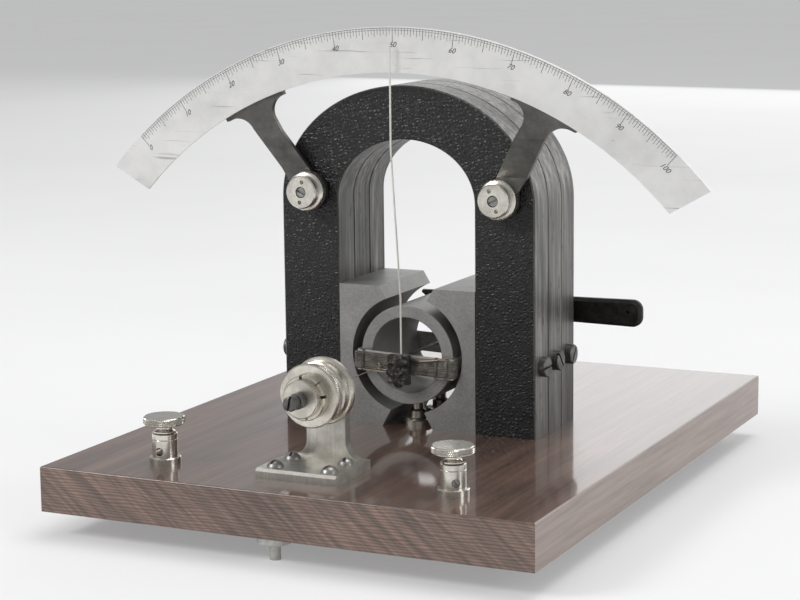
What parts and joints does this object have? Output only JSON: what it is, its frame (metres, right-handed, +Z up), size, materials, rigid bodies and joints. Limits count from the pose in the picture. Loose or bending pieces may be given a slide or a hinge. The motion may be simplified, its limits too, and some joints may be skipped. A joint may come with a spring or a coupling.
{
  "type": "moving-coil galvanometer",
  "caption": "Laboratory galvanometer: horseshoe magnet on a wooden board, moving coil on a taut suspension, pointer, curved scale, torsion head and screw terminals.",
  "frame": {"origin": "on the table plane under the middle of the board, which is also under the middle of the magnet", "axes": "+X to the right of the dial's reader, +Y from the torsion head towards the rear stand, +Z up"},
  "size_m": [0.3454, 0.357, 0.2528],
  "materials": {
    "varnished_wood": "French-polished mahogany",
    "nickel": "worn nickel on turned brass",
    "magnet_steel": "black crackle paint in front, bare sides",
    "soft_iron": "grainy bare iron",
    "screw_steel": "dulled steel",
    "turned_brass": "lacquered, turned",
    "former_metal": "thin bent strip",
    "wound_wire": "cotton-covered copper wire",
    "solder": "rough soldered block",
    "pointer_straw": "plain drawn straw",
    "suspension_wire": "drawn bronze",
    "silvered_plate": "silvered, tarnished",
    "bronzed_brass": "darkened, satin"
  },
  "bodies": {
    "stand": {"base_board": "varnished_wood", "feet": "nickel", "magnet_front": "magnet_steel", "magnet_middle": "magnet_steel", "magnet_rear": "magnet_steel", "pole_left": "soft_iron", "pole_right": "soft_iron", "pole_screws": "screw_steel", "magnet_screws_left": "screw_steel", "magnet_screws_right": "screw_steel", "core_ring": "soft_iron", "core_stems": "turned_brass", "core_stem_nuts": "turned_brass", "scale_plate": "silvered_plate", "scale_bracket_left": "bronzed_brass", "scale_bracket_right": "bronzed_brass", "scale_screws": "screw_steel", "scale_studs": "screw_steel", "scale_nut_left": "turned_brass", "scale_nut_right": "turned_brass", "front_stand": "turned_brass", "front_stand_screws": "turned_brass", "rear_stand": "turned_brass", "rear_stand_screws": "turned_brass", "tension_screw": "turned_brass", "tension_nut": "turned_brass", "terminal_post_left": "turned_brass", "terminal_post_right": "turned_brass", "terminal_nuts": "turned_brass", "lead_left": "suspension_wire", "lead_right": "suspension_wire", "lever_spacer": "turned_brass", "lever_pivot": "screw_steel", "bracket_washers": "turned_brass"},
    "coil": {"coil_former": "former_metal", "coil_winding": "wound_wire", "coil_clamp_front": "solder", "coil_clamp_rear": "solder", "coil_spindle": "screw_steel", "pointer": "pointer_straw", "suspension_front": "suspension_wire", "suspension_rear": "suspension_wire"},
    "torsion_head": {"head_drum": "turned_brass", "head_ring_nut": "turned_brass", "head_disc": "turned_brass", "head_screw": "screw_steel", "head_shaft": "turned_brass", "head_retainer": "turned_brass"},
    "shank_left": {"terminal_shank_left": "turned_brass"},
    "knob_left": {"terminal_knob_left": "turned_brass"},
    "shank_right": {"terminal_shank_right": "turned_brass"},
    "knob_right": {"terminal_knob_right": "turned_brass"},
    "lever": {"rear_lever": "screw_steel"}
  },
  "joints": [
    {"name": "coil_swing", "type": "hinge", "parent": "stand", "child": "coil", "pos_m": [0, 0, 0.0765], "axis": [0, 1, 0], "range_deg": [-48, 48], "stiffness_Nm_per_rad": 0.0004},
    {"name": "zero_adjust", "type": "hinge", "parent": "stand", "child": "torsion_head", "pos_m": [0, 0, 0.0765], "axis": [0, 1, 0], "range_deg": [-60, 60]},
    {"name": "clamp_left", "type": "slide", "parent": "stand", "child": "shank_left", "axis": [0, 0, 1], "range_m": [0, 0.003]},
    {"name": "knob_turn_left", "type": "hinge", "parent": "shank_left", "child": "knob_left", "pos_m": [-0.0802, -0.1467, 0.057], "axis": [0, 0, 1], "range_deg": [0, 1080]},
    {"name": "clamp_right", "type": "slide", "parent": "stand", "child": "shank_right", "axis": [0, 0, 1], "range_m": [0, 0.003]},
    {"name": "knob_turn_right", "type": "hinge", "parent": "shank_right", "child": "knob_right", "pos_m": [0.0802, -0.1467, 0.057], "axis": [0, 0, 1], "range_deg": [0, 1080]},
    {"name": "lever_turn", "type": "hinge", "parent": "stand", "child": "lever", "pos_m": [0.057, 0.0375, 0.0955], "axis": [0, 1, 0], "range_deg": [-5, 40]}
  ],
  "couplings": [
    {"joint": "clamp_left", "follows": "knob_turn_left", "m_per_rad": 0.00015915},
    {"joint": "clamp_right", "follows": "knob_turn_right", "m_per_rad": 0.00015915}
  ]
}
